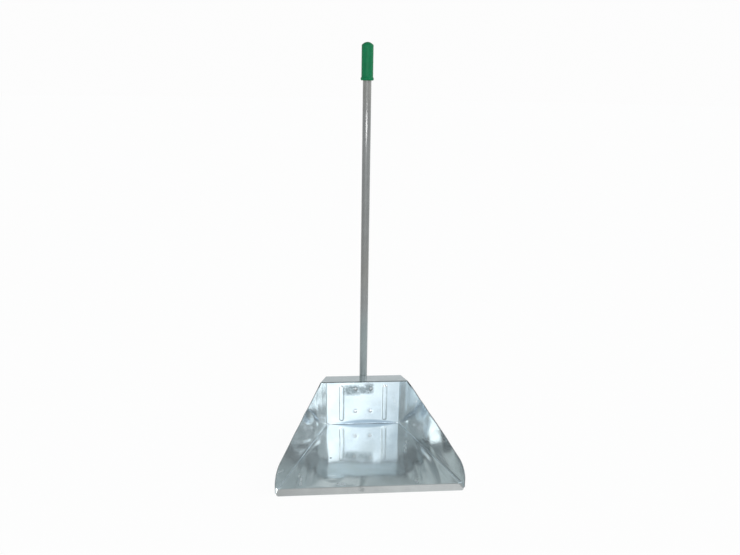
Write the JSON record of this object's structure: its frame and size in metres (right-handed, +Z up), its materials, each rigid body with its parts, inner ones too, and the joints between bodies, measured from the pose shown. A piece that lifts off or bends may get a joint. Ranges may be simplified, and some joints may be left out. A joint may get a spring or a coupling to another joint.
{
  "type": "dustpan",
  "caption": "Upright long-handled dustpan: a flared open pan of folded bright sheet metal with a hooded back, a straight tube handle and a plastic hand grip.",
  "frame": {"origin": "on the ground, under the middle of the overall box; the pan stands on the edge of its lip and on the lower end of its handle tube", "axes": "+Z up along the handle, -Y out of the pan's mouth, +X to the right for someone who faces the mouth"},
  "size_m": [0.34, 0.25, 0.77],
  "materials": {
    "zinc_sheet": "bright zinc-coated sheet, mirror-like with a soft grain",
    "handle_steel": "drawn tube, satin",
    "strap_steel": "zinc-coated strap, satin",
    "rivet_steel": "bright",
    "grip_plastic": "satin green moulding"
  },
  "bodies": {
    "root": {"pan_tray": "zinc_sheet", "left_wall": "zinc_sheet", "right_wall": "zinc_sheet", "handle_tube": "handle_steel", "upper_saddle": "strap_steel", "lower_saddle": "strap_steel", "upper_saddle_rivets": "rivet_steel", "lower_saddle_rivets": "rivet_steel", "tube_lock_rivet": "rivet_steel", "hand_grip": "grip_plastic"}
  },
  "joints": []
}
